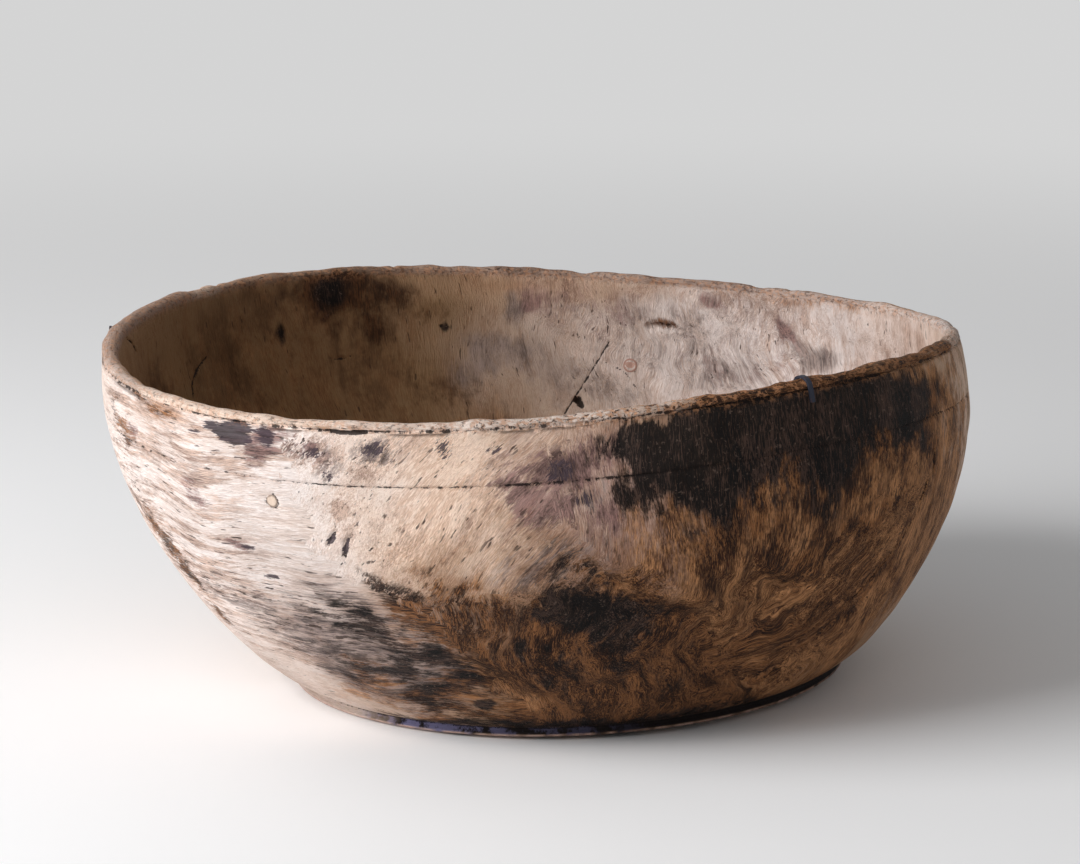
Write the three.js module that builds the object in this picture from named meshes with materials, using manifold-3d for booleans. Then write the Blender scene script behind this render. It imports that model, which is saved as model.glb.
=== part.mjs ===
// A turned wooden bowl, cut from one burl blank, with the iron and wood of its old repairs.
// Millimetres, +Z up. The origin is the middle of the flat underside of the foot, and the
// front of the bowl faces -Y. Azimuths are in degrees, counted from +X towards +Y.
import * as THREE from 'three';
import { mergeVertices } from 'three/addons/utils/BufferGeometryUtils.js';
import Module from 'manifold-3d';

const wasm = await Module();
wasm.setup();

// Outside of the bowl as it was turned: heights from the table, radii from the lathe axis
const BOWL_HEIGHT = 176.3;
const RIM_RADIUS = 213.3;
const BELLY_SWELL = 2;
const BELLY_BELOW_RIM = 31.1;
const BELLY_RADIUS = RIM_RADIUS + BELLY_SWELL;
const BELLY_HEIGHT = BOWL_HEIGHT - BELLY_BELOW_RIM;
const BELLY_HANDLE = 60.6;
const FLARE_ANGLE = 23.8;
const FLARE_HANDLE = 27.2;

// Foot: a flat to rest on, a worn lip, and a shallow cove under the wall
const REST_RADIUS = 118;
const FOOT_RADIUS = 139.4;
const FOOT_HEIGHT = 5;
const FOOT_LIP_HEIGHT = 1.6;
const FOOT_LIP_ROUND = 0.8;
const FOOT_COVE_DEPTH = 1.4;

// Rim, inside and floor
const RIM_THICKNESS = 8.5;
const RIM_ROUND_HEIGHT = 3.2;
const WALL_THICKNESS = 10.5;
const FLOOR_THICKNESS = 17;
const FLOOR_HANDLE = 160;
const INSIDE_HANDLE = 70;

// Incised turning lines: one sets off the rim bead, the other runs round the belly
const BEAD_LINE_BELOW_RIM = 4.4;
const BEAD_LINE_WIDTH = 1.6;
const BEAD_LINE_DEPTH = 1.2;
const BELT_LINE_BELOW_RIM = 31;
const BELT_LINE_WIDTH = 1.8;
const BELT_LINE_DEPTH = 0.9;

// How the wood moved as it dried: the wall leans, the plan turned oval, the rim took a saddle
// shape and a small tilt, and one side of the foot's edge lifted off the table
const LEAN_X = -19.4;
const LEAN_Y = 2.7;
const OVAL_STRETCH = 9.3;
const OVAL_AZIMUTH = 26.7;
const SADDLE_RISE = 6.67;
const SADDLE_AZIMUTH = -38.6;
const RIM_TILT = 1.77;
const RIM_TILT_AZIMUTH = -78.2;
const WARP_POWER = 1.3;
const FOOT_EDGE_LIFT = 5;

// Wooden pegs through the wall
const PEG_CLEARANCE = 0.3;
const WALL_PEG_DIAMETER = 6.2;
const WALL_PEG_AZIMUTH = -125;
const WALL_PEG_BELOW_RIM = 42.1;
const KNOT_PLUG_DIAMETER = 8;
const KNOT_PLUG_AZIMUTH = 76;
const KNOT_PLUG_BELOW_RIM = 55.2;

// Iron staple that straddles the rim, with both ends turned into the wall
const IRON_CLEARANCE = 0.3;
const STAPLE_AZIMUTH = -50.6;
const STAPLE_WIDTH = 2.6;
const STAPLE_THICKNESS = 1.2;
const STAPLE_DROP = 9.5;
const STAPLE_POINT_LENGTH = 3.6;

// Iron nail driven into the rim bead from outside
const NAIL_AZIMUTH = 177;
const NAIL_BELOW_RIM = 2.6;
const NAIL_HEAD_DIAMETER = 3;
const NAIL_HEAD_THICKNESS = 1.1;
const NAIL_SHANK_SIDE = 1.4;
const NAIL_SHANK_LENGTH = 5.5;

// Mesh steps
const ROUND_STEPS = 80;
const WALL_STEPS = 12;
const CLOSING_STEPS = 4;
const RIM_STEPS = 8;
const INSIDE_STEPS = 14;
const PEG_STEPS = 24;
const NAIL_STEPS = 12;

// Solids and meshes

function solid(geometry) {
  const bare = geometry.clone();
  bare.deleteAttribute('normal');
  bare.deleteAttribute('uv');
  const merged = mergeVertices(bare);
  const corners = merged.index.array;
  const triangles = [];
  for (let i = 0; i < corners.length; i += 3) {
    const [a, b, c] = corners.slice(i, i + 3);
    if (a !== b && b !== c && c !== a) triangles.push(a, b, c);
  }
  return new wasm.Manifold(new wasm.Mesh({
    numProp: 3,
    vertProperties: merged.attributes.position.array,
    triVerts: new Uint32Array(triangles),
  }));
}

function mesh(name, shape, finish) {
  const { vertProperties, triVerts } = shape.getMesh();
  const geometry = new THREE.BufferGeometry();
  geometry.setAttribute('position', new THREE.BufferAttribute(vertProperties, 3));
  geometry.setIndex(new THREE.BufferAttribute(triVerts, 1));
  geometry.computeVertexNormals();
  const result = new THREE.Mesh(geometry, new THREE.MeshStandardMaterial(finish));
  result.name = name;
  return result;
}

// Drying: where a point of the freshly turned bowl lies today

const radians = THREE.MathUtils.degToRad;

function dried(radius, azimuth, height) {
  const share = THREE.MathUtils.clamp(height / BOWL_HEIGHT, 0, 1);
  const outward = Math.min(1, radius / FOOT_RADIUS) ** 2;
  const oval = OVAL_STRETCH * Math.cos(2 * (azimuth - radians(OVAL_AZIMUTH)));
  const plan = radius * (1 + oval / RIM_RADIUS);
  const saddle = SADDLE_RISE * Math.cos(2 * (azimuth - radians(SADDLE_AZIMUTH)));
  const tilt = RIM_TILT * Math.cos(azimuth - radians(RIM_TILT_AZIMUTH));
  const edge = THREE.MathUtils.clamp((radius - REST_RADIUS) / (FOOT_RADIUS - REST_RADIUS), 0, 1);
  const lift = FOOT_EDGE_LIFT * (1 + Math.cos(azimuth)) / 2 * (1 - share) * edge;
  return new THREE.Vector3(
    plan * Math.cos(azimuth) + LEAN_X * share,
    plan * Math.sin(azimuth) + LEAN_Y * share,
    height + share ** WARP_POWER * outward * (saddle + tilt) + lift,
  );
}

// Bowl profile, as (radius, height) points

const point = (radius, height) => new THREE.Vector2(radius, height);

function footProfile() {
  const roundCentre = point(FOOT_RADIUS - FOOT_LIP_ROUND, FOOT_LIP_ROUND);
  const coveTop = FOOT_HEIGHT - FOOT_LIP_ROUND;
  return [
    point(0, 0),
    point(REST_RADIUS, 0),
    point(roundCentre.x, 0),
    point(FOOT_RADIUS, roundCentre.y),
    point(FOOT_RADIUS, FOOT_LIP_HEIGHT),
    point(FOOT_RADIUS - FOOT_COVE_DEPTH, FOOT_LIP_HEIGHT + FOOT_LIP_ROUND),
    point(FOOT_RADIUS - FOOT_COVE_DEPTH, coveTop),
  ];
}

function plainWall() {
  const flare = radians(FLARE_ANGLE);
  const start = point(FOOT_RADIUS, FOOT_HEIGHT);
  const belly = point(BELLY_RADIUS, BELLY_HEIGHT);
  const low = new THREE.CubicBezierCurve(
    start,
    point(start.x + FLARE_HANDLE * Math.cos(flare), start.y + FLARE_HANDLE * Math.sin(flare)),
    point(belly.x, belly.y - BELLY_HANDLE),
    belly,
  ).getPoints(WALL_STEPS);
  const top = point(RIM_RADIUS, BOWL_HEIGHT - RIM_ROUND_HEIGHT);
  const closing = new THREE.QuadraticBezierCurve(
    belly,
    point(belly.x, (belly.y + top.y) / 2),
    top,
  ).getPoints(CLOSING_STEPS);
  return [...low, ...closing.slice(1)];
}

function radiusAt(wall, height) {
  const above = Math.max(1, wall.findIndex((p) => p.y >= height));
  const a = wall[above - 1];
  const b = wall[above];
  return THREE.MathUtils.mapLinear(height, a.y, b.y, a.x, b.x);
}

// A turning line: a V cut round the wall at one height
function incised(wall, height, width, depth) {
  const low = height - width / 2;
  const high = height + width / 2;
  return [
    ...wall.filter((p) => p.y < low),
    point(radiusAt(wall, low), low),
    point(radiusAt(wall, height) - depth, height),
    point(radiusAt(wall, high), high),
    ...wall.filter((p) => p.y > high),
  ];
}

function rimRound() {
  const centre = point(RIM_RADIUS - RIM_THICKNESS / 2, BOWL_HEIGHT - RIM_ROUND_HEIGHT);
  return new THREE.EllipseCurve(
    centre.x, centre.y, RIM_THICKNESS / 2, RIM_ROUND_HEIGHT, 0, Math.PI,
  ).getPoints(RIM_STEPS);
}

function insideProfile() {
  const top = point(BELLY_RADIUS - WALL_THICKNESS, BELLY_HEIGHT);
  const inside = new THREE.CubicBezierCurve(
    top,
    point(top.x, top.y - INSIDE_HANDLE),
    point(FLOOR_HANDLE, FLOOR_THICKNESS),
    point(0, FLOOR_THICKNESS),
  ).getPoints(INSIDE_STEPS);
  return inside;
}

// Inside radius on the straight stretch between the rim round and the belly
function insideRadiusAt(height) {
  const shoulder = BOWL_HEIGHT - RIM_ROUND_HEIGHT;
  const rimInside = RIM_RADIUS - RIM_THICKNESS;
  const bellyInside = BELLY_RADIUS - WALL_THICKNESS;
  return THREE.MathUtils.mapLinear(height, shoulder, BELLY_HEIGHT, rimInside, bellyInside);
}

const smoothWall = plainWall();

function bowlBlank() {
  const beadLine = BOWL_HEIGHT - BEAD_LINE_BELOW_RIM;
  const beltLine = BOWL_HEIGHT - BELT_LINE_BELOW_RIM;
  const belted = incised(smoothWall, beltLine, BELT_LINE_WIDTH, BELT_LINE_DEPTH);
  const beaded = incised(belted, beadLine, BEAD_LINE_WIDTH, BEAD_LINE_DEPTH);
  const outline = [
    ...footProfile(),
    ...beaded,
    ...rimRound().slice(1),
    ...insideProfile(),
  ];
  const turned = new THREE.LatheGeometry(outline, ROUND_STEPS);
  turned.rotateX(Math.PI / 2);
  const places = turned.attributes.position;
  for (let i = 0; i < places.count; i += 1) {
    const [x, y, z] = [places.getX(i), places.getY(i), places.getZ(i)];
    const now = dried(Math.hypot(x, y), Math.atan2(y, x), z);
    places.setXYZ(i, now.x, now.y, now.z);
  }
  return solid(turned);
}

// Pegs: straight rods across the wall, trimmed flush with both of its faces

function wallRod(diameter, azimuthDegrees, belowRim) {
  const azimuth = radians(azimuthDegrees);
  const height = BOWL_HEIGHT - belowRim;
  const rod = new THREE.CylinderGeometry(
    diameter / 2, diameter / 2, 3 * WALL_THICKNESS, PEG_STEPS,
  );
  rod.rotateZ(-Math.PI / 2);
  rod.rotateZ(azimuth);
  const middle = radiusAt(smoothWall, height) - WALL_THICKNESS / 2;
  const place = dried(middle, azimuth, height);
  rod.translate(place.x, place.y, place.z);
  return solid(rod);
}

function peg(blank, diameter, azimuth, belowRim) {
  return {
    piece: wallRod(diameter, azimuth, belowRim).intersect(blank),
    hole: wallRod(diameter + 2 * PEG_CLEARANCE, azimuth, belowRim),
  };
}

// Staple: a bent strip, drawn as a ribbon in the (radius, height) plane

function ribbon(path, thickness) {
  const sides = [[], []];
  path.forEach((p, i) => {
    const back = path[Math.max(0, i - 1)];
    const ahead = path[Math.min(path.length - 1, i + 1)];
    const arriving = p.clone().sub(i > 0 ? back : p).normalize();
    const leaving = (i < path.length - 1 ? ahead.clone().sub(p) : arriving.clone()).normalize();
    if (i === 0) arriving.copy(leaving);
    const along = arriving.clone().add(leaving).normalize();
    const reach = thickness / 2 / along.dot(leaving);
    const across = point(-along.y, along.x).multiplyScalar(reach);
    sides[0].push(p.clone().add(across));
    sides[1].unshift(p.clone().sub(across));
  });
  return new THREE.Shape([...sides[0], ...sides[1]]);
}

function stapleStrip(path, thickness, width) {
  const strip = new THREE.ExtrudeGeometry(ribbon(path, thickness), {
    depth: width, bevelEnabled: false,
  });
  const places = strip.attributes.position;
  for (let i = 0; i < places.count; i += 1) {
    const across = places.getZ(i) - width / 2;
    const azimuth = radians(STAPLE_AZIMUTH) - across / RIM_RADIUS;
    const now = dried(places.getX(i), azimuth, places.getY(i));
    places.setXYZ(i, now.x, now.y, now.z);
  }
  return solid(strip);
}

function staple() {
  const stand = IRON_CLEARANCE + STAPLE_THICKNESS / 2;
  const shoulder = BOWL_HEIGHT - RIM_ROUND_HEIGHT;
  const pointHeight = BOWL_HEIGHT - STAPLE_DROP;
  const outside = radiusAt(smoothWall, pointHeight);
  const inside = insideRadiusAt(pointHeight);
  const outerPoint = [
    point(outside - STAPLE_POINT_LENGTH, pointHeight),
    point(outside + stand, pointHeight),
  ];
  const innerPoint = [
    point(inside - stand, pointHeight),
    point(inside + STAPLE_POINT_LENGTH, pointHeight),
  ];
  const crown = new THREE.EllipseCurve(
    RIM_RADIUS - RIM_THICKNESS / 2, shoulder,
    RIM_THICKNESS / 2 + stand, RIM_ROUND_HEIGHT + stand, 0, Math.PI,
  ).getPoints(RIM_STEPS);
  const holes = [outerPoint, innerPoint].map(([from, to]) => {
    const past = to.clone().sub(from).setLength(IRON_CLEARANCE);
    const deeper = [from.clone().sub(past), to.clone().add(past)];
    return stapleStrip(
      deeper,
      STAPLE_THICKNESS + 2 * IRON_CLEARANCE,
      STAPLE_WIDTH + 2 * IRON_CLEARANCE,
    );
  });
  const path = [...outerPoint, ...crown, ...innerPoint];
  return { piece: stapleStrip(path, STAPLE_THICKNESS, STAPLE_WIDTH), holes };
}

// Nail: a square shank under a round head, driven in along the radius

function placedInRim(geometry, outward) {
  const azimuth = radians(NAIL_AZIMUTH);
  const place = dried(RIM_RADIUS, azimuth, BOWL_HEIGHT - NAIL_BELOW_RIM);
  geometry.translate(outward, 0, 0);
  geometry.rotateZ(azimuth);
  geometry.translate(place.x, place.y, place.z);
  return solid(geometry);
}

function nail() {
  const head = new THREE.CylinderGeometry(
    NAIL_HEAD_DIAMETER / 2, NAIL_HEAD_DIAMETER / 2, NAIL_HEAD_THICKNESS, NAIL_STEPS,
  );
  head.rotateZ(-Math.PI / 2);
  const shankBox = (side, length) => new THREE.BoxGeometry(length, side, side);
  const headMiddle = IRON_CLEARANCE + NAIL_HEAD_THICKNESS / 2;
  const shankLength = NAIL_SHANK_LENGTH + headMiddle;
  const holeLength = shankLength + 2 * IRON_CLEARANCE;
  const shankMiddle = headMiddle - shankLength / 2;
  const shank = placedInRim(shankBox(NAIL_SHANK_SIDE, shankLength), shankMiddle);
  return {
    piece: placedInRim(head, headMiddle).add(shank),
    hole: placedInRim(shankBox(NAIL_SHANK_SIDE + 2 * IRON_CLEARANCE, holeLength), shankMiddle),
  };
}

// Assembly

const blank = bowlBlank();
const wallPeg = peg(blank, WALL_PEG_DIAMETER, WALL_PEG_AZIMUTH, WALL_PEG_BELOW_RIM);
const knotPlug = peg(blank, KNOT_PLUG_DIAMETER, KNOT_PLUG_AZIMUTH, KNOT_PLUG_BELOW_RIM);
const rimStaple = staple();
const rimNail = nail();
const holes = [wallPeg.hole, knotPlug.hole, ...rimStaple.holes, rimNail.hole];
const body = holes.reduce((shape, hole) => shape.subtract(hole), blank);

const WEATHERED_WOOD = { color: 0xa98a70, roughness: 0.78, metalness: 0 };
const PEG_WOOD = { color: 0xcdb394, roughness: 0.8, metalness: 0 };
const RED_WOOD = { color: 0x8a5a44, roughness: 0.75, metalness: 0 };
const OLD_IRON = { color: 0x3c4150, roughness: 0.55, metalness: 0.85 };

const bowl = new THREE.Group();
bowl.add(
  mesh('bowl_body', body, WEATHERED_WOOD),
  mesh('rim_staple', rimStaple.piece, OLD_IRON),
  mesh('rim_nail', rimNail.piece, OLD_IRON),
  mesh('wall_peg', wallPeg.piece, PEG_WOOD),
  mesh('knot_plug', knotPlug.piece, RED_WOOD),
);

export default bowl;
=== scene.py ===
"""A turned wooden bowl: one dried, weathered burl shell with the iron and wood of its old repairs.

Metres, +Z up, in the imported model's frame: the origin is the middle of the flat underside of the
foot, and the front of the bowl faces -Y. Azimuths are in degrees, counted from +X towards +Y.
"""
import math

import bmesh
import bpy
import numpy as np
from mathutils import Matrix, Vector
from mathutils.geometry import interpolate_bezier


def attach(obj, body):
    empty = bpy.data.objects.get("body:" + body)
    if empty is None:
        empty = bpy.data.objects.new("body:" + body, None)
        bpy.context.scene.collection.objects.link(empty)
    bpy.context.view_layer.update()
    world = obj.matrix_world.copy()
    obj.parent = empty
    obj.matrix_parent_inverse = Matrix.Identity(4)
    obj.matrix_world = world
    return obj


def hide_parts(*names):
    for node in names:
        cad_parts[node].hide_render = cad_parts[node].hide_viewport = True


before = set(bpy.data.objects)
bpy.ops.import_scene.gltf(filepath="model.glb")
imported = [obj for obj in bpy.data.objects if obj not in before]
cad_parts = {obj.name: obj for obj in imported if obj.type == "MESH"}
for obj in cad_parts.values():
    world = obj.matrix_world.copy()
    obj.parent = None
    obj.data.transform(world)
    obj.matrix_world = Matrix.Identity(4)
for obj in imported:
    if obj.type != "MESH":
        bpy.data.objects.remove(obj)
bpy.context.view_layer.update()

# Bowl body, its turned shape. One shell of burl cut on a lathe from a single blank: a flat foot with
# a worn lip and a cove, a full wall with two incised lines, and a rounded rim. Sizes in millimetres.
MM = 0.001
BOWL_HEIGHT = 176.3
RIM_RADIUS = 213.3
BELLY_RADIUS = 215.3
BELLY_HEIGHT = 145.2
BELLY_HANDLE = 60.6
FLARE_ANGLE = math.radians(23.8)
FLARE_HANDLE = 27.2
REST_RADIUS = 118
FOOT_RADIUS = 139.4
FOOT_HEIGHT = 5
FOOT_LIP_HEIGHT = 1.6
FOOT_COVE_RADIUS = 138
RIM_THICKNESS = 8.5
RIM_ROUND_HEIGHT = 3.2
INSIDE_RADIUS = 204.8
FLOOR_THICKNESS = 17
FLOOR_HANDLE = 160
INSIDE_HANDLE = 70
BEAD_LINE_HEIGHT, BEAD_LINE_WIDTH, BEAD_LINE_DEPTH = 171.9, 1.6, 1.2
BELT_LINE_HEIGHT, BELT_LINE_WIDTH, BELT_LINE_DEPTH = 145.3, 2.0, 0.9
CLOSING_DRAW = 0.67
FOOT_EDGE_ROUND = 0.8
FOOT_EDGE_CORNER = 0.2
COVE_EASE = 0.7
REST_STEPS, LIP_STEPS, COVE_STEPS = 8, 5, 3
LOW_WALL_STEPS, HIGH_WALL_STEPS = 72, 14
RIM_STEPS, NECK_STEPS, INSIDE_STEPS = 13, 13, 54
TURNING_STEPS = 480
MERGE_REACH = 0.01


def profile_curve(start, leave, arrive, end, steps):
    """Points of a curve from start to end, drawn towards the two handles between them."""
    corners = [Vector(corner) for corner in (start, leave, arrive, end)]
    return [(place.x, place.y) for place in interpolate_bezier(*corners, steps)]


def straight(start, end, steps):
    return [tuple(place) for place in np.linspace(start, end, steps)]


belly = (BELLY_RADIUS, BELLY_HEIGHT)
shoulder = (RIM_RADIUS, BOWL_HEIGHT - RIM_ROUND_HEIGHT)
flare = (
    FOOT_RADIUS + FLARE_HANDLE * math.cos(FLARE_ANGLE),
    FOOT_HEIGHT + FLARE_HANDLE * math.sin(FLARE_ANGLE),
)
low_wall = profile_curve(
    (FOOT_RADIUS, FOOT_HEIGHT),
    flare,
    (BELLY_RADIUS, BELLY_HEIGHT - BELLY_HANDLE),
    belly,
    LOW_WALL_STEPS,
)
closing_reach = (shoulder[1] - BELLY_HEIGHT) / 3
high_wall = profile_curve(
    belly,
    (BELLY_RADIUS, BELLY_HEIGHT + closing_reach),
    (BELLY_RADIUS - CLOSING_DRAW, shoulder[1] - closing_reach),
    shoulder,
    HIGH_WALL_STEPS,
)
outer_wall = low_wall + high_wall[1:]
wall_heights = [height for _, height in outer_wall]
wall_radii = [radius for radius, _ in outer_wall]

# An incised line's section, in shares of its width and of its depth
GROOVE_SECTION = ((-0.5, 0), (-0.2, 0.7), (0, 1), (0.2, 0.7), (0.5, 0))


def incised(wall, height, width, depth):
    """The wall with a rounded V cut round it at one height."""
    low = height - width / 2
    high = height + width / 2
    cut = []
    for share, drop in GROOVE_SECTION:
        level = height + share * width
        cut.append((np.interp(level, wall_heights, wall_radii) - drop * depth, level))
    below = [place for place in wall if place[1] < low]
    above = [place for place in wall if place[1] > high]
    return below + cut + above


belted_wall = incised(outer_wall, BELT_LINE_HEIGHT, BELT_LINE_WIDTH, BELT_LINE_DEPTH)
grooved_wall = incised(belted_wall, BEAD_LINE_HEIGHT, BEAD_LINE_WIDTH, BEAD_LINE_DEPTH)
foot = straight((0, 0), (REST_RADIUS, 0), REST_STEPS)
foot += straight((REST_RADIUS, 0), (FOOT_RADIUS - FOOT_EDGE_ROUND, 0), LIP_STEPS)[1:]
foot += [
    (FOOT_RADIUS - FOOT_EDGE_CORNER, FOOT_EDGE_CORNER),
    (FOOT_RADIUS, FOOT_EDGE_ROUND),
    (FOOT_RADIUS, FOOT_LIP_HEIGHT),
]
foot += straight(
    (FOOT_COVE_RADIUS, FOOT_LIP_HEIGHT + COVE_EASE),
    (FOOT_COVE_RADIUS, FOOT_HEIGHT - COVE_EASE),
    COVE_STEPS,
)
rim_round = []
for rim_turn in np.radians(np.linspace(0, 180, RIM_STEPS)):
    rim_round.append((
        RIM_RADIUS - RIM_THICKNESS / 2 * (1 - math.cos(rim_turn)),
        shoulder[1] + RIM_ROUND_HEIGHT * math.sin(rim_turn),
    ))
inside_top = (INSIDE_RADIUS, BELLY_HEIGHT)
inside_wall = straight(rim_round[-1], inside_top, NECK_STEPS)
inside_wall += profile_curve(
    inside_top,
    (INSIDE_RADIUS, BELLY_HEIGHT - INSIDE_HANDLE),
    (FLOOR_HANDLE, FLOOR_THICKNESS),
    (0, FLOOR_THICKNESS),
    INSIDE_STEPS,
)[1:]
outline = foot + grooved_wall + rim_round[1:] + inside_wall[1:]

shell = bmesh.new()
arc_layer = shell.verts.layers.float.new("arc")
profile_points = []
arc_length = 0
for (across, up), (last_across, last_up) in zip(outline, outline[:1] + outline):
    arc_length += math.hypot(across - last_across, up - last_up)
    place = shell.verts.new((across, 0, up))
    place[arc_layer] = arc_length
    profile_points.append(place)
crest_arc = max(profile_points, key=lambda place: place.co.z)[arc_layer]
profile_edges = [shell.edges.new(pair) for pair in zip(profile_points, profile_points[1:])]
bmesh.ops.spin(
    shell, geom=profile_points + profile_edges, cent=(0, 0, 0), axis=(0, 0, 1), dvec=(0, 0, 0),
    angle=math.tau, steps=TURNING_STEPS, use_merge=True, use_duplicate=False,
)
bmesh.ops.remove_doubles(shell, verts=shell.verts, dist=MERGE_REACH)

# Bowl body, its damage. Drying cracks, gouges, an open knot and a worm slot are cut into the wall, and
# the rim is chipped. Each cut is a path of azimuth and height, with its half width, its depth and how
# much painted shade darkens its inside.
OUTSIDE_CUTS = (
    ("left gouge", ((-116.6, 122), (-117.6, 119), (-118.4, 113.5)), 0.9, 0.9, 0.3),
    ("right gouge", ((-114.7, 120.5), (-115.8, 116), (-116.4, 108.6)), 1.0, 1.0, 0.3),
    ("bead slot", ((-115.6, 171.4), (-113.3, 171.2), (-111, 171.5)), 1.0, 0.9, 0.9),
    ("right slot", ((-24.6, 128), (-24.4, 122), (-24.2, 117)), 1.0, 1.4, 0.9),
    ("right low slot", ((-26, 113), (-26.6, 108), (-27.4, 104)), 1.1, 1.1, 0.8),
    ("right slope crack", ((-26.5, 102), (-29.5, 89), (-34, 73), (-39, 60)), 0.5, 0.6, 0.55),
)
INSIDE_CUTS = (
    ("long crack", ((79, 135), (81, 124), (84.5, 106), (86, 99), (87.5, 92)), 0.5, 0.6, 0.75),
    ("curved crack", ((153.5, 140), (156, 136), (158, 130), (158.6, 123)), 0.8, 1.2, 0.8),
    ("rim crack", ((178.5, 170), (176.5, 166), (175, 160)), 0.6, 1.0, 0.7),
    ("short crack", ((127.5, 127.5), (125.5, 126.5), (123.5, 127.5)), 0.5, 0.7, 0.6),
    ("fork crack", ((81, 124), (77, 117), (75, 107)), 0.4, 0.4, 0.5),
    ("open knot", ((85.2, 100), (84.6, 98)), 2.2, 4.0, 0.9),
    ("worm slot", ((72.4, 145.4), (70.4, 146.4), (68.4, 145.6)), 2.2, 2.4, 0.25),
    ("dark pit", ((136, 146), (136, 141)), 1.0, 0.8, 0.6),
    ("middle pit", ((106.5, 141.5), (106.2, 140)), 1.2, 0.8, 0.7),
)
WALL_PEG_DIAMETER, WALL_PEG_AZIMUTH, WALL_PEG_HEIGHT = 6.2, -125, 134.2
KNOT_PLUG_DIAMETER, KNOT_PLUG_AZIMUTH, KNOT_PLUG_HEIGHT = 8, 76, 121.1
# The seats of the two rods: diameter, azimuth, height, and how dark the ring gap round each is: a dark
# joint, with painted shade in the gap
PEG_SEATS = (
    (WALL_PEG_DIAMETER, WALL_PEG_AZIMUTH, WALL_PEG_HEIGHT, 0.65),
    (KNOT_PLUG_DIAMETER, KNOT_PLUG_AZIMUTH, KNOT_PLUG_HEIGHT, 0.3),
)
REFINE_REACHES = (3.5, 1.75)


def bowl_places(points):
    """Azimuth, height and radius of each point of the freshly turned bowl."""
    azimuth = np.degrees(np.arctan2(points[:, 1], points[:, 0]))
    return azimuth, points[:, 2], np.hypot(points[:, 0], points[:, 1])


def beside(azimuth, at_azimuth):
    """Distance round the wall from one azimuth, in millimetres."""
    return np.radians((azimuth - at_azimuth + 180) % 360 - 180) * BELLY_RADIUS


def path_distance(azimuth, height, path):
    """Distance of each point from a path of (azimuth, height) places on the wall."""
    nearest = np.full(len(azimuth), np.inf)
    for (start_azimuth, start_height), (end_azimuth, end_height) in zip(path, path[1:]):
        across = beside(azimuth, start_azimuth)
        up = height - start_height
        run = math.radians(end_azimuth - start_azimuth) * BELLY_RADIUS
        rise = end_height - start_height
        share = np.clip((across * run + up * rise) / (run * run + rise * rise), 0, 1)
        nearest = np.minimum(nearest, np.hypot(across - share * run, up - share * rise))
    return nearest


for refine_reach in REFINE_REACHES:
    shell.verts.ensure_lookup_table()
    points = np.array([place.co[:] for place in shell.verts])
    azimuth, height, radius = bowl_places(points)
    inside = np.array([place[arc_layer] for place in shell.verts]) > crest_arc
    close = np.zeros(len(points), bool)
    for cuts, side in ((OUTSIDE_CUTS, ~inside), (INSIDE_CUTS, inside)):
        for _, path, half_width, _, _ in cuts:
            close |= side & (path_distance(azimuth, height, path) < half_width + refine_reach)
    for diameter, seat_azimuth, seat_height, _ in PEG_SEATS:
        seat_distance = np.hypot(beside(azimuth, seat_azimuth), height - seat_height)
        close |= seat_distance < diameter / 2 + refine_reach
    fine_edges = [edge for edge in shell.edges if all(close[place.index] for place in edge.verts)]
    bmesh.ops.subdivide_edges(shell, edges=fine_edges, cuts=1, use_grid_fill=True)
bmesh.ops.recalc_face_normals(shell, faces=shell.faces)

bowl_mesh = bpy.data.meshes.new("burl_bowl")
shell.to_mesh(bowl_mesh)
shell.free()
point_count = len(bowl_mesh.vertices)
points = np.empty(point_count * 3)
bowl_mesh.vertices.foreach_get("co", points)
points = points.reshape(-1, 3)
normals = np.empty(point_count * 3)
bowl_mesh.vertices.foreach_get("normal", normals)
normals = normals.reshape(-1, 3)
arc = np.empty(point_count)
bowl_mesh.attributes["arc"].data.foreach_get("value", arc)
azimuth, height, radius = bowl_places(points)
inside = arc > crest_arc
outside = ~inside

# Rim chips: azimuth, half width and depth in millimetres, and how far the break leans outwards
RIM_CHIPS = (
    ("back left break", 153, 9, 2.6, 0.8),
    ("back left end", 147.5, 3, 1.4, 0.5),
    ("back notch", 113, 1.6, 1.6, 0),
    ("back step", 82, 5, 0.7, 0.3),
    ("right back step", 54, 4, 1.2, 0),
    ("right back notch", 48.5, 1.8, 1.8, -0.4),
    ("front pit", -91, 2.2, 1.0, 0.4),
    ("front wear", -84, 8, 0.8, 0.5),
    ("front bite", -77.5, 3, 0.9, 0.6),
    ("right wear", -58, 9, 0.6, 0.4),
)

WAVE_COUNT = 9
WAVE_SPREAD = 3.2


def waver(azimuth, height, seed, wavelength):
    """A smooth uneven field between about -1 and 1, built from a few seeded waves."""
    chance = np.random.default_rng(seed)
    field = np.zeros(len(azimuth))
    for _ in range(WAVE_COUNT):
        rounds = np.round(chance.normal(0, math.tau * BELLY_RADIUS / wavelength))
        climb = chance.normal(0, math.tau / wavelength)
        field += np.sin(rounds * np.radians(azimuth) + climb * height + chance.uniform(0, math.tau))
    return field / WAVE_SPREAD


def ramp(values, start, end):
    """0 up to the start, 1 from the end on, and straight between them."""
    return np.clip((values - start) / (end - start), 0, 1)


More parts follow.
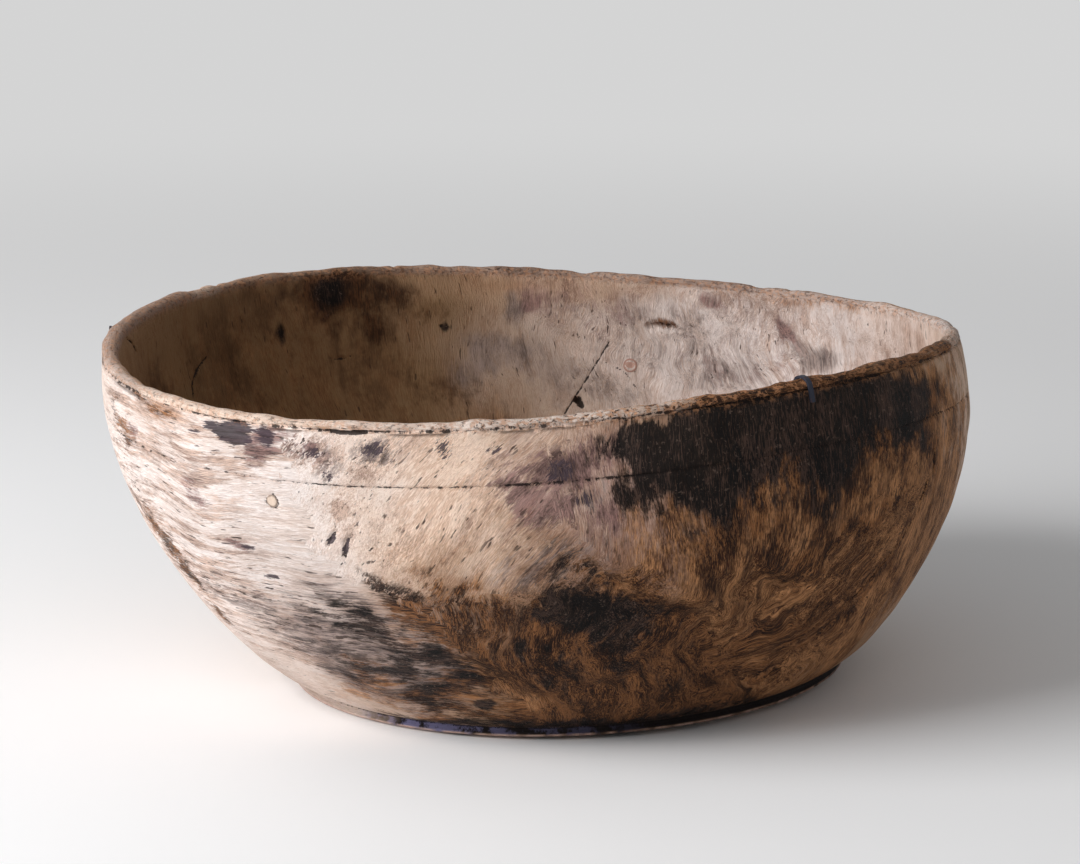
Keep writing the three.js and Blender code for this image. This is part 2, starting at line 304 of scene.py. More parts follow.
# Uneven surface and worn rim: depths and wavelengths, and where they fade in
SWELL, SWELL_LENGTH = 0.35, 120
RIPPLE, RIPPLE_LENGTH = 0.16, 34
SWELL_HEIGHTS = (6, 26)
SWELL_RADII = (60, 120)
RIM_WEAR_HEIGHTS = (168, 173)
ROUGH_RIM_AZIMUTH, ROUGH_RIM_REACH = -70, 150
relief = SWELL * waver(azimuth, arc, 3, SWELL_LENGTH) + RIPPLE * waver(azimuth, arc, 5, RIPPLE_LENGTH)
relief *= ramp(height, *SWELL_HEIGHTS) * ramp(radius, *SWELL_RADII)
rim_share = ramp(height, *RIM_WEAR_HEIGHTS)
rough_rim = np.clip(1.3 - np.abs(beside(azimuth, ROUGH_RIM_AZIMUTH)) / ROUGH_RIM_REACH, 0.3, 1)
rim_hollows = waver(azimuth, 2 * height, 11, 40)
rim_crumbs = np.abs(waver(azimuth, 3 * height, 12, 13)) * rough_rim
relief -= rim_share * np.clip(0.3 + 0.4 * rim_hollows + 0.5 * rim_crumbs, 0, 1)

# How much of the belt line is left, by azimuth
BELT_LEFT = (
    (-180, 0.7), (-150, 0.75), (-125, 0.6), (-118, 0.95), (-80, 0.95),
    (-66, 0.6), (-56, 0.3), (-36, 0.3), (-28, 0.95), (-5, 0.6),
)
BELT_LINE_REACH = 0.95
BELT_FILL, BEAD_FILL = 0.8, 1.0
belt_strength = np.interp(azimuth, *zip(*BELT_LEFT))
belt_strength *= np.clip(0.9 + 0.4 * waver(azimuth, height, 15, 26), 0.45, 1)
belt_share = outside * np.clip(1.1 - np.abs(height - BELT_LINE_HEIGHT) / BELT_LINE_REACH, 0, 1)
bead_strength = np.clip(0.75 + 0.35 * waver(azimuth, height, 16, 50), 0.3, 1)
bead_share = outside * np.clip(1 - np.abs(height - BEAD_LINE_HEIGHT) / (BEAD_LINE_WIDTH / 2), 0, 1)
relief += BELT_FILL * belt_share * (1 - belt_strength) + BEAD_FILL * bead_share * (1 - bead_strength)

CUT_WOBBLE, CUT_WOBBLE_LENGTH = 0.25, 7
SEAT_REACH = 6
RING_OFFSET, RING_HALF_WIDTH, RING_DEPTH = 0.3, 0.7, 0.45
cut_depth = np.zeros(point_count)
# Painted shade inside the cuts and in the ring gaps round the rod seats
cut_shade = np.zeros(point_count)
wobble = 1 + CUT_WOBBLE * waver(azimuth, height, 21, CUT_WOBBLE_LENGTH)
for cuts, side in ((OUTSIDE_CUTS, outside), (INSIDE_CUTS, inside)):
    for _, path, half_width, depth, dark in cuts:
        closeness = np.clip(1.25 - path_distance(azimuth, height, path) / half_width * wobble, 0, 1)
        cut_depth = np.maximum(cut_depth, side * depth * np.minimum(1, 1.3 * closeness))
        cut_shade = np.maximum(cut_shade, side * dark * np.minimum(1, 1.5 * closeness))
# The ring gap round each rod is cut and painted dark: its joint, and painted shade in the gap
for diameter, seat_azimuth, seat_height, seat_shade in PEG_SEATS:
    from_rod = np.hypot(beside(azimuth, seat_azimuth), height - seat_height) - diameter / 2
    relief *= ramp(from_rod, 0, SEAT_REACH)
    seat_gap = np.clip(1 - np.abs(from_rod - RING_OFFSET) / RING_HALF_WIDTH, 0, 1)
    cut_depth = np.maximum(cut_depth, RING_DEPTH * seat_gap)
    cut_shade = np.maximum(cut_shade, seat_shade * seat_gap)
relief -= cut_depth
points += normals * relief[:, None]
rim_middle = RIM_RADIUS - RIM_THICKNESS / 2
for _, chip_azimuth, half_width, depth, lean in RIM_CHIPS:
    closeness = np.clip(1.3 - np.abs(beside(azimuth, chip_azimuth)) / half_width, 0, 1)
    bite = np.minimum(1, 1.4 * closeness) * rim_share
    outer_share = 0.5 + lean * (radius - rim_middle) / RIM_THICKNESS * 2
    points[:, 2] -= depth * bite * np.clip(outer_share, 0.15, 1.2)

# Drying: the wall leans, the plan turns oval, the rim takes a saddle shape and a small tilt, and one
# side of the foot's edge lifts clear of the ground
LEAN = (-19.4, 2.7)
OVAL_STRETCH, OVAL_AZIMUTH = 9.3, 26.7
SADDLE_RISE, SADDLE_AZIMUTH = 6.67, -38.6
RIM_TILT, RIM_TILT_AZIMUTH = 1.77, -78.2
WARP_POWER = 1.3
FOOT_EDGE_LIFT = 5


def dried(turned):
    """Where points of the freshly turned bowl lie today, in metres."""
    reach = np.hypot(turned[:, 0], turned[:, 1])
    turn = np.arctan2(turned[:, 1], turned[:, 0])
    share = np.clip(turned[:, 2] / BOWL_HEIGHT, 0, 1)
    plan = reach * (1 + OVAL_STRETCH * np.cos(2 * (turn - math.radians(OVAL_AZIMUTH))) / RIM_RADIUS)
    rise = SADDLE_RISE * np.cos(2 * (turn - math.radians(SADDLE_AZIMUTH)))
    rise += RIM_TILT * np.cos(turn - math.radians(RIM_TILT_AZIMUTH))
    rise *= share ** WARP_POWER * np.minimum(1, reach / FOOT_RADIUS) ** 2
    edge = np.clip((reach - REST_RADIUS) / (FOOT_RADIUS - REST_RADIUS), 0, 1)
    lift = FOOT_EDGE_LIFT * (1 + np.cos(turn)) / 2 * (1 - share) * edge
    x = plan * np.cos(turn) + LEAN[0] * share
    y = plan * np.sin(turn) + LEAN[1] * share
    return np.stack([x, y, turned[:, 2] + rise + lift], axis=1) * MM


bowl_mesh.vertices.foreach_set("co", dried(points).ravel())
bowl_mesh.polygons.foreach_set("use_smooth", np.ones(len(bowl_mesh.polygons), bool))
bowl_mesh.update()
bowl_body = bpy.data.objects.new("burl_bowl", bowl_mesh)
bpy.context.collection.objects.link(bowl_body)

# Bowl body, its colours. The burl is pale where it was handled and washed, and honey, brown or black
# where oil and soot sank in. A mark is an azimuth, a height, half sizes in millimetres, a tilt in
# degrees and a weight, and on the pale layers a colour.


def tint(red, green, blue):
    """A linear colour from the 0 to 255 values that it shows as."""
    shares = np.array([red, green, blue]) / 255
    return np.where(shares < 0.04045, shares / 12.92, ((shares + 0.055) / 1.055) ** 2.4)


CREAM = tint(244, 232, 227)
OAT = tint(247, 220, 200)
ROSE_OAT = tint(206, 174, 162)
ASH = tint(234, 222, 218)
TAN = tint(198, 162, 130)
UMBER = tint(158, 116, 84)
DUN = tint(180, 153, 139)
WALNUT = tint(146, 115, 82)
BARK = tint(54, 38, 30)
FRESH = tint(255, 236, 224)

PALE_OUTSIDE = (
    ("back of the bowl", 90, 100, 330, 110, 0, 0.8, TAN),
    ("pale back", 150, 120, 130, 90, 0, 0.9, OAT),
    ("washed left side", -150, 110, 150, 120, 0, 1.0, CREAM),
    ("washed front left", -120, 130, 80, 90, 0, 1.0, CREAM),
    ("beige front", -98, 124, 66, 66, 20, 1.0, OAT),
    ("tan front", -94, 92, 70, 26, 0, 0.6, TAN),
    ("rosy front", -80, 128, 40, 60, 0, 1.0, ROSE_OAT),
    ("golden right side", -46, 95, 112, 100, 0, 0.9, UMBER),
    ("right edge", -10, 112, 64, 80, 0, 1.0, OAT),
    ("brown low front", -86, 54, 98, 56, 0, 1.0, UMBER),
    ("dun low left", -118, 44, 52, 40, 0, 0.8, DUN),
)
PALE_INSIDE = (
    ("left wall", 150, 110, 200, 130, 0, 1.0, WALNUT),
    ("left of the back", 116, 126, 80, 80, 0, 0.8, WALNUT),
    ("washed right wall", 48, 130, 160, 90, 0, 1.0, ASH),
    ("pale right end", 15, 140, 60, 70, 0, 0.4, CREAM),
    ("tan under the back rim", 92, 166, 100, 10, 0, 0.6, TAN),
    ("floor", 90, 17, 900, 56, 0, 1.0, WALNUT),
)
PALE_RIM = (
    ("grey left rim", 175, 130, 0.9, DUN),
    ("tan front left rim", -130, 90, 0.8, OAT),
    ("cream front rim", -94, 90, 1.0, FRESH),
    ("tan right rim", -38, 70, 0.8, TAN),
    ("grey right rim", 5, 50, 0.8, ASH),
    ("back rim", 80, 220, 0.8, DUN),
    ("fresh back left break", 152, 12, 0.9, OAT),
)
HONEY_OUTSIDE = (
    ("right side", -42, 95, 130, 110, 0, 1.15),
    ("far right", -8, 120, 70, 90, 0, 0.3),
    ("low front", -78, 40, 108, 48, 0, 1.2),
    ("golden flecks", -102, 90, 34, 15, 0, 0.35),
    ("tan front", -98, 114, 56, 22, 20, 0.25),
    ("front left bead", -118, 173.5, 40, 2.5, 0, 0.4),
    ("left bead smear", -143, 169, 46, 5, -5, 0.3),
    ("back", 70, 80, 220, 90, 0, 0.9),
    ("low left", -118, 30, 70, 26, 0, 0.6),
)
HONEY_INSIDE = (
    ("left wall", 152, 100, 190, 120, 0, 0.3),
    ("left of the back", 116, 116, 60, 50, 0, 0.2),
    ("low back", 92, 84, 90, 26, 0, 0.3),
    ("floor", 90, 30, 900, 30, 0, 0.3),
    ("under the back rim", 96, 168, 80, 7, 0, 0.3),
    ("under the right rim", 40, 170, 80, 4, 0, 0.45),
)
BROWN_OUTSIDE = (
    ("golden side", -54, 90, 100, 90, 0, 0.4),
    ("front", -100, 112, 70, 50, 0, 0.17),
    ("left side", -148, 110, 110, 80, 0, 0.12),
    ("lower front", -86, 54, 86, 42, 0, 1.0),
    ("low middle", -72, 36, 76, 24, 8, 0.9),
    ("above the foot", -75, 11, 130, 13, 0, 1.05),
    ("flecks by the ridge", -112.5, 94, 18, 9, -35, 0.45),
    ("right of the ridge", -105, 76, 24, 24, -30, 0.78),
    ("low left", -110, 28, 56, 24, -8, 0.8),
    ("smudge on the golden side", -65, 118, 17, 20, 0, 0.8),
    ("second smudge", -53, 90, 26, 20, 30, 0.8),
    ("right slope", -41, 100, 36, 8, 34, 0.65),
    ("right low slope", -36, 66, 32, 12, 34, 0.7),
    ("low right", -50, 44, 60, 22, 24, 0.6),
    ("under the band", -52, 134, 74, 18, 4, 1.0),
    ("right end of the band", -29, 152, 32, 24, 0, 0.9),
    ("far right streaks", -23, 112, 13, 42, 6, 0.42),
    ("left of the golden side", -75, 112, 22, 24, 0, 0.25),
    ("left edge streaks", -153, 97, 18, 34, 10, 1.0),
    ("left upper streaks", -156, 150, 18, 18, 0, 0.45),
    ("left bead streak", -143, 168, 34, 4, -4, 0.55),
    ("back stain", 70, 60, 130, 50, 10, 0.8),
    ("back low stain", 120, 30, 200, 24, 0, 0.8),
)
BROWN_INSIDE = (
    ("left wall", 136, 126, 114, 64, 0, 0.42),
    ("under the back rim", 126, 158, 24, 14, 0, 1.0),
    ("left of the back", 116, 150, 26, 24, 0, 0.7),
    ("left end", 172, 130, 50, 50, 0, 0.4),
    ("low back", 106, 100, 56, 24, 0, 0.5),
    ("worm slot", 70.4, 145.6, 11, 4, 0, 0.8),
    ("front right", -50, 130, 60, 40, 8, 0.55),
    ("front left", -118, 104, 50, 36, -10, 0.5),
    ("edge of the floor", -80, 34, 120, 14, 0, 0.5),
)
SOOT_OUTSIDE = (
    ("golden side", -52, 96, 100, 70, 0, 0.28),
    ("under the band", -54, 131, 62, 13, 4, 0.6),
    ("lower front", -85, 54, 84, 40, 0, 0.42),
    ("black band", -55, 159, 94, 22, 0, 1.5),
    ("left end of the band", -73, 156, 26, 26, 0, 1.4),
    ("lower edge of the band", -68, 139, 42, 13, 6, 1.2),
    ("right part of the band", -36, 154, 42, 18, 0, 1.1),
    ("streak under the band", -48, 134, 8, 20, 0, 0.95),
    ("dark core", -89, 80, 30, 18, 0, 0.86),
    ("second core", -80, 66, 28, 16, 0, 0.8),
    ("low left", -118, 68, 28, 12, -14, 0.75),
    ("low left tail", -113, 44, 44, 22, -14, 0.6),
    ("knot spot", -104, 22, 8, 4, 0, 1.1),
    ("flecks by the ridge", -111.5, 93, 20, 8, -35, 0.55),
    ("foot line", -85, 7, 160, 6, 0, 0.9),
)
SOOT_INSIDE = (
    ("dark patch", 126, 158, 14, 11, 0, 0.8),
    ("dark spot", 136, 144, 4, 8, 0, 0.8),
    ("middle spot", 106.4, 141, 4, 4, 0, 0.9),
)
PLUM_OUTSIDE = (
    ("front wall", -86, 136, 44, 46, 0, 0.42),
    ("left wall", -140, 124, 90, 56, 0, 0.12),
    ("mauve smudge", -139.5, 129, 11, 7, 0, 0.8),
    ("front", -91, 134, 16, 13, 24, 0.92),
    ("by the band", -81, 130, 12, 9, 0, 0.9),
    ("over the belt", -87, 153, 13, 11, 10, 0.95),
    ("beside the band", -82, 158, 15, 16, 0, 0.7),
    ("drips under the bead", -126, 162, 14, 10, 40, 0.95),
    ("row under the bead", -119.5, 161, 14, 6, 0, 0.8),
    ("left specks", -152, 152, 8, 6, 20, 0.7),
    ("left dashes", -133, 109, 12, 4, -6, 0.8),
)
PLUM_INSIDE = (
    ("back smudge", 90, 157, 14, 9, 0, 0.75),
    ("back streak", 61, 164, 9, 7, -30, 0.9),
    ("right streak", 49, 151, 7, 12, -20, 0.95),
    ("back cloud", 84, 150, 40, 16, 0, 0.5),
    ("right wall", 56, 140, 110, 50, 0, 0.3),
)
SLATE_OUTSIDE = (
    ("low left", -119, 50, 54, 32, -10, 0.95),
    ("left wall", -142, 100, 90, 60, 0, 0.12),
    ("front wall", -102, 124, 60, 50, 0, 0.08),
    ("violet streaks", -138, 72, 40, 22, -14, 0.5),
    ("right of the stain", -109.5, 163, 11, 7, 10, 0.85),
    ("drops", -116, 158, 14, 8, 30, 0.6),
    ("grey front", -81, 112, 24, 16, 10, 0.3),
    ("under the belt", -84.5, 137, 18, 9, 10, 0.85),
    ("curl", -116.6, 149, 7, 7, 45, 0.7),
    ("edge of the dark front", -92, 104, 36, 12, 8, 0.6),
)
SLATE_INSIDE = (
    ("right wall", 56, 134, 130, 60, 0, 0.28),
    ("back smudge", 98, 124, 34, 16, -10, 0.66),
    ("small smudge", 94, 154, 12, 12, 0, 0.7),
    ("low back", 86, 108, 50, 16, 0, 0.5),
    ("right patch", 43.5, 138, 16, 11, 0, 1.0),
    ("right middle", 62, 122, 50, 18, 0, 0.62),
    ("cloud", 74, 140, 50, 20, 0, 0.5),
    ("front cloud", -92, 146, 60, 24, 0, 0.6),
)
STAINS = (
    ("stain under the bead", -130.6, 168.4, 12, 4.4, 0, 1.0),
    ("lower half of the stain", -129.6, 163.6, 9, 3, 0, 0.9),
    ("tail of the stain", -135.6, 163.4, 8, 2.6, 10, 0.6),
    ("drips", -125.2, 166, 5, 7, 30, 0.75),
    ("curl", -116.6, 149, 4, 4.5, 45, 0.6),
    ("grey drops", -118.5, 160, 8, 4, 14, 0.6),
    ("grey drops right", -109.8, 164, 6, 4, 0, 0.65),
    ("speckle", -101, 164, 6, 7, 0, 0.6),
    ("small speckle", -94.7, 161, 4, 4, 0, 0.55),
    ("plum stain", -87.2, 152, 9, 6, 10, 0.6),
    ("lower plum stain", -85, 138, 10, 5, 15, 0.6),
    ("left gouge", -117.6, 118, 5, 1.6, 51, 1.0),
    ("right gouge", -115.7, 114.8, 6.6, 1.9, 62, 1.0),
    ("left dash", -131, 107, 8, 1.8, -6, 0.7),
    ("low left dash", -129, 92, 7, 2, 14, 0.8),
)
DASHED = (
    ("left wall", -145, 95, 90, 44, 0, 0.6),
    ("front", -104, 122, 60, 40, 0, 0.5),
    ("under the bead", -120, 160, 70, 12, 0, 0.6),
    ("low left", -125, 70, 70, 24, 0, 1.0),
    ("right side", -45, 100, 90, 60, 0, 0.9),
)
SWIRLED = (
    ("low right", -58, 40, 70, 34, 0, 1.0),
    ("low front", -85, 60, 60, 30, 0, 0.6),
    ("back", 80, 80, 160, 60, 0, 0.8),
)
SWIRLED_INSIDE = (
    ("right wall", 62, 130, 110, 70, 0, 0.8),
)
GRIME_OUTSIDE = (
    ("left wall", -150, 105, 120, 80, 0, 0.38),
    ("left low", -142, 66, 80, 34, 0, 0.36),
    ("upper left", -144, 156, 70, 20, 0, 0.5),
    ("left bead smear", -142, 169, 50, 6, -6, 0.8),
    ("under the bead", -122, 160, 60, 14, 0, 0.55),
    ("front", -104, 120, 60, 50, 0, 0.28),
    ("front right", -82, 125, 46, 60, 0, 0.38),
    ("brown spot", -115.4, 133, 6, 7, 40, 0.85),
    ("back", 110, 110, 300, 90, 0, 0.6),
)
GRIME_INSIDE = (
    ("back wall", 84, 120, 80, 60, 0, 0.3),
    ("right wall", 40, 130, 110, 60, 0, 0.45),
    ("under the back rim", 80, 166, 160, 10, 0, 0.5),
    ("right end", 18, 146, 60, 60, 0, 0.5),
)
# The ridge where level fibres give way to slanting ones, from the foot up
RIDGE_HEIGHTS = (5, 32, 63, 87, 106, 127, 171)
RIDGE_AZIMUTHS = (-100, -104.5, -109, -115.6, -119.5, -122, -122)

shaken_azimuth = azimuth + 0.9 * waver(azimuth, arc, 31, 45) + 0.45 * waver(azimuth, arc, 32, 14)
shaken_height = height + 3.0 * waver(azimuth, arc, 33, 45) + 1.4 * waver(azimuth, arc, 34, 14)


def frayed(seed):
    """A shift in millimetres that frays the edges of marks: broad, middling and fine."""
    broad = 9 * waver(azimuth, arc, seed, 90)
    middling = 5 * waver(azimuth, arc, seed + 1, 34)
    return broad + middling + 2.6 * waver(azimuth, arc, seed + 2, 13)


shift_across = frayed(35)
shift_up = frayed(38)
# The half size from which a mark frays fully, and how its weight falls from its middle
FULL_FRAY_SIZE = 26
MARK_CENTRE, MARK_FALL = 1.15, 0.72


def smooth(share):
    """A share from 0 to 1, eased at both ends."""
    return share * share * (3 - 2 * share)


def mark_weight(at_azimuth, at_height, half_width, half_height, tilt):
    """How far inside a mark each point lies: 1 in the middle, 0 past its soft uneven edge."""
    across = beside(azimuth, at_azimuth) + min(1, half_width / FULL_FRAY_SIZE) * shift_across
    up = height - at_height + min(1, half_height / FULL_FRAY_SIZE) * shift_up
    turn = math.radians(tilt)
    along = (across * math.cos(turn) + up * math.sin(turn)) / half_width
    over = (up * math.cos(turn) - across * math.sin(turn)) / half_height
    return smooth(np.clip(MARK_CENTRE - MARK_FALL * np.hypot(along, over), 0, 1))


BEAD_HEIGHTS = (170.5, 172.5)
RIM_MARK_HEIGHT, RIM_MARK_REACH = 174, 40
bead = ramp(height, *BEAD_HEIGHTS)


def rim_mark(at_azimuth, half_width):
    """How far inside a mark on the rim's bead each point lies."""
    return bead * mark_weight(at_azimuth, RIM_MARK_HEIGHT, half_width, RIM_MARK_REACH, 0)


tone = np.tile(TAN, (point_count, 1))
for marks, side in ((PALE_OUTSIDE, outside), (PALE_INSIDE, inside)):
    for _, *spot, weight, colour in marks:
        share = weight * side * mark_weight(*spot)
        tone += share[:, None] * (colour - tone)
for _, at_azimuth, half_width, weight, colour in PALE_RIM:
    share = weight * rim_mark(at_azimuth, half_width)
    tone += share[:, None] * (colour - tone)

FOOT_BAND_HEIGHTS = (5.3, 4.8)
FOOT_BAND_AZIMUTHS = (-140, -126)
UNDERSIDE = 0.01
LIP_HEIGHTS = (1.5, 1.0)
foot_band = outside * ramp(height, *FOOT_BAND_HEIGHTS) * (height > UNDERSIDE)
foot_band *= np.maximum(0.15, ramp(shaken_azimuth, *FOOT_BAND_AZIMUTHS))
# Where the foot band turns light violet: partly its blue-black stain, and partly painted sheen on the left
# front, towards the lamp
violet_sheen_share = ramp(azimuth, -70, -120) * ramp(azimuth, -175, -155)
lip_wear = np.clip(0.75 + 0.5 * waver(azimuth, height, 41, 18), 0, 1)
lip = outside * ramp(height, *LIP_HEIGHTS) * lip_wear
tone += 0.9 * lip[:, None] * (ROSE_OAT - tone)

# How much the weaker of two overlapping marks adds
OVERLAP = 0.3


def gathered(outside_marks, inside_marks=()):
    """One layer's strength at every point, from the marks on both faces of the wall."""
    field = np.zeros(point_count)
    for marks, side in ((outside_marks, outside), (inside_marks, inside)):
        for _, *spot, weight in marks:
            share = weight * side * mark_weight(*spot)
            field = np.maximum(field, share) + OVERLAP * np.minimum(field, share)
    return field


def keep_field(name, values):
    """Stores one number a point on the bowl, for its material."""
    layer = bowl_mesh.attributes.new(name, "FLOAT", "POINT")
    layer.data.foreach_set("value", values.astype(np.float32))


# The crease at the top of the foot's cove, under the edge of the wall, is painted dark as shade
FOOT_CREASE_HEIGHT, FOOT_CREASE_REACH = 4.7, 0.7
OUTER_RIM_RADII = (205, 209)
PIT_HEIGHTS = (169.5, 172.5)
wall_share = 1 - foot_band
clear_rim = 1 - 0.85 * bead
outer_rim = np.maximum(0.5, ramp(radius, *OUTER_RIM_RADII))
rim_dark = np.maximum(1.1 * rim_mark(-54, 76) * outer_rim, rim_mark(-28, 80))
back_dark = 0.4 * rim_mark(90, 240)
brown_wall = wall_share * gathered(BROWN_OUTSIDE, BROWN_INSIDE)
# Painted shade in the crease under the wall at the foot, and in the incised belt and bead lines
foot_crease_shade = outside * np.clip(1.1 - np.abs(height - FOOT_CREASE_HEIGHT) / FOOT_CREASE_REACH, 0, 1)
line_shade = np.maximum(0.68 * belt_share * belt_strength, 0.72 * bead_share * bead_strength)
keep_field("honey", wall_share * gathered(HONEY_OUTSIDE, HONEY_INSIDE))
keep_field("brown", np.maximum.reduce([brown_wall, rim_dark, back_dark]))
keep_field("soot", wall_share * gathered(SOOT_OUTSIDE, SOOT_INSIDE) * np.where(bead > 0.5, 0.35, 1))
keep_field("plum", clear_rim * gathered(PLUM_OUTSIDE, PLUM_INSIDE))
keep_field("slate", clear_rim * gathered(SLATE_OUTSIDE, SLATE_INSIDE))
keep_field("stain", gathered(STAINS))
keep_field("swirl", gathered(SWIRLED, SWIRLED_INSIDE))
keep_field("dashes", np.maximum(gathered(DASHED), 0.15 * inside))
past_ridge = beside(shaken_azimuth, np.interp(height, RIDGE_HEIGHTS, RIDGE_AZIMUTHS))
level_left = np.clip(1.2 - past_ridge / 30, 0, 1) * np.clip(1.5 + past_ridge / 260, 0, 1)
level_low_right = mark_weight(-52, 56, 60, 24, 24)
slanting_front = np.clip(0.5 + past_ridge / 30, 0, 1) * np.clip(2.6 - past_ridge / 62, 0, 1)
slanting_front *= ramp(shaken_height, 78, 98)
keep_field("level_grain", np.maximum(outside * np.maximum(level_left, level_low_right), 0.9 * bead))
slanting_right = 0.9 * mark_weight(-40, 84, 60, 22, 34)
keep_field("slanting_grain", outside * (1 - bead) * np.maximum(slanting_front, slanting_right))
keep_field("grime", clear_rim * gathered(GRIME_OUTSIDE, GRIME_INSIDE))
keep_field("calm", inside * (1 - 0.5 * mark_weight(56, 134, 120, 60, 0)))
# The crease field holds all painted shade: grooves, cracks, rod seat gaps and the foot's crease
keep_field("crease", np.maximum.reduce([line_shade, foot_crease_shade, cut_shade]))
keep_field("pits", ramp(height, *PIT_HEIGHTS) * (0.35 + 0.65 * rough_rim))
keep_field("foot", foot_band * (1 - 0.9 * lip))
keep_field("violet", violet_sheen_share)
tone_layer = bowl_mesh.attributes.new("tone", "FLOAT_COLOR", "POINT")
tone_layer.data.foreach_set("color", np.hstack([tone, np.ones((point_count, 1))]).ravel())

# Where the grain is read: wound round the wall, and straight across the floor
GRAIN_RADIUS = 200
FLOOR_BLEND = 70
FLOOR_SQUEEZE = 0.3
bearing = np.radians(azimuth)
wall_grain = np.stack([GRAIN_RADIUS * np.cos(bearing), GRAIN_RADIUS * np.sin(bearing), arc], axis=1)
to_right = radius * np.cos(bearing)
to_back = radius * np.sin(bearing)
floor_grain = np.stack([to_right, FLOOR_SQUEEZE * to_back, arc.mean() + to_back], axis=1)
floor_share = smooth(ramp(radius, FOOT_RADIUS, FOOT_RADIUS - FLOOR_BLEND))[:, None]
grain_place = wall_grain + floor_share * (floor_grain - wall_grain)
grain_layer = bowl_mesh.attributes.new("grain_place", "FLOAT_VECTOR", "POINT")
grain_layer.data.foreach_set("vector", grain_place.ravel())

# Bowl body, its wood. Fibres run upright on most of the wall, level on the left, slanting in front and
# straight across the floor; they carry fine streaks, golden flecks where the wood is dark, short dark
# dashes and open pores.


class Field:
    """One output of a material's nodes. Arithmetic on it adds Math nodes."""

    # A Mix node's two inputs and its output, for each kind of value
    MIX_SOCKETS = {"VECTOR": (4, 5, 1), "RGBA": (6, 7, 2)}

    def __init__(self, tree, socket=None):
        self.tree = tree
        self.socket = socket

    def make(self, kind, settings, sockets, output=0):
        """Adds a node: its settings first, then the values or links of its sockets."""
        node = self.tree.nodes.new(kind)
        for name, value in settings.items():
            setattr(node, name, value)
        for name, value in sockets.items():
            if isinstance(value, Field):
                self.tree.links.new(value.socket, node.inputs[name])
            else:
                node.inputs[name].default_value = value
        return Field(self.tree, node.outputs[output])

    def math(self, operation, first, second):
        return self.make("ShaderNodeMath", {"operation": operation}, {0: first, 1: second})

    def __add__(self, other):
        return self.math("ADD", self, other)

    def __sub__(self, other):
        return self.math("SUBTRACT", self, other)

    def __rsub__(self, other):
        return self.math("SUBTRACT", other, self)

    def __mul__(self, other):
        return self.math("MULTIPLY", self, other)

    __radd__ = __add__
    __rmul__ = __mul__

    def between(self, low, high):
        """0 below low, 1 above high, smooth between them."""
        return self.make("ShaderNodeMapRange", {"interpolation_type": "SMOOTHSTEP"}, {
            "Value": self, "From Min": low, "From Max": high})

    def mixed(self, kind, share, first, second):
        """A vector or a colour between two others, by a share."""
        first_input, second_input, output = self.MIX_SOCKETS[kind]
        return self.make("ShaderNodeMix", {"data_type": kind}, {
            0: share, first_input: first, second_input: second}, output)

    def towards(self, colour, share):
        """This colour, moved towards another by a share."""
        return self.mixed("RGBA", share, self, colour)

    def times(self, colour):
        """This colour times another, channel by channel."""
        return self.make("ShaderNodeVectorMath", {"operation": "MULTIPLY"}, {0: self, 1: colour})

    def brightened(self, factor):
        """This colour times a number."""
        return self.make("ShaderNodeVectorMath", {"operation": "SCALE"}, {"Vector": self, "Scale": factor})

    def noise(self, scale, detail, roughness=0.6, output="Fac"):
        """Noise read at this place."""
        return self.make("ShaderNodeTexNoise", {}, {
            "Vector": self, "Scale": scale, "Detail": detail, "Roughness": roughness}, output)

    def bumped(self, strength, depth):
        """A normal raised by this height field, with its depth in metres."""
        return self.make("ShaderNodeBump", {}, {"Strength": strength, "Distance": depth, "Height": self})


def new_finish(name):
    """A material with one shader, as its start field and its shader node."""
    material = bpy.data.materials.new(name)
    material.use_nodes = True
    return material, Field(material.node_tree), material.node_tree.nodes["Principled BSDF"]


def coat(material, shader, colour, roughness, normal):
    """Feeds a finish's colour, roughness and normal into its shader."""
    for name, field in (("Base Color", colour), ("Roughness", roughness), ("Normal", normal)):
        material.node_tree.links.new(field.socket, shader.inputs[name])


def opaque(colour):
    return (*colour, 1)


burl, wood, burl_shader = new_finish("weathered_burl")


def painted(name, output="Fac"):
    """A field, colour or place that is stored on the bowl."""
    return wood.make("ShaderNodeAttribute", {"attribute_name": name}, {}, output)


def moved(place, shift):
    return wood.make("ShaderNodeVectorMath", {"operation": "ADD"}, {0: place, 1: shift})


# How far the fibres wander, in millimetres, everywhere and where the grain swirls
DRIFT, SWIRL_DRIFT, SWIRL_CURL = 18.0, 34.0, 20.0
SLANT = math.radians(-48)
ZONE_EDGE = (0.496, 0.504)
calm = painted("calm")
swirl = painted("swirl")
wood_place = painted("grain_place", "Vector")
drift = wood_place.noise(0.013, 1.0, 0.5, output="Color").brightened(DRIFT + swirl * SWIRL_DRIFT)
curl = wood_place.noise(0.042, 1.0, 0.5, output="Color").brightened(swirl * SWIRL_CURL)
fibre_place = moved(moved(wood_place, drift), curl)
cloud = wood_place.noise(0.022, 5.0, 0.66).between(0.32, 0.68)
clumps = wood_place.noise(0.07, 6.0, 0.72).between(0.33, 0.67)
zone_fray = (clumps - 0.5) * 0.5
level_zone = (painted("level_grain") + zone_fray).between(*ZONE_EDGE)
slanting_zone = (painted("slanting_grain") + zone_fray).between(*ZONE_EDGE)


def along_fibres(length, width, shift=0.0):
    """Places measured in fibre lengths and widths, in millimetres, along the local grain."""

    def stretched(scale, rotation=(0, 0, 0)):
        return wood.make("ShaderNodeMapping", {"vector_type": "TEXTURE"}, {
            "Vector": fibre_place, "Location": (shift, shift, shift), "Rotation": rotation, "Scale": scale})

    upright = stretched((width, width, length))
    level = stretched((length, length, width))
    slanting = stretched((length, width, width), (0, SLANT, 0))
    upright_or_level = wood.mixed("VECTOR", level_zone, upright, level)
    return wood.mixed("VECTOR", slanting_zone, upright_or_level, slanting)


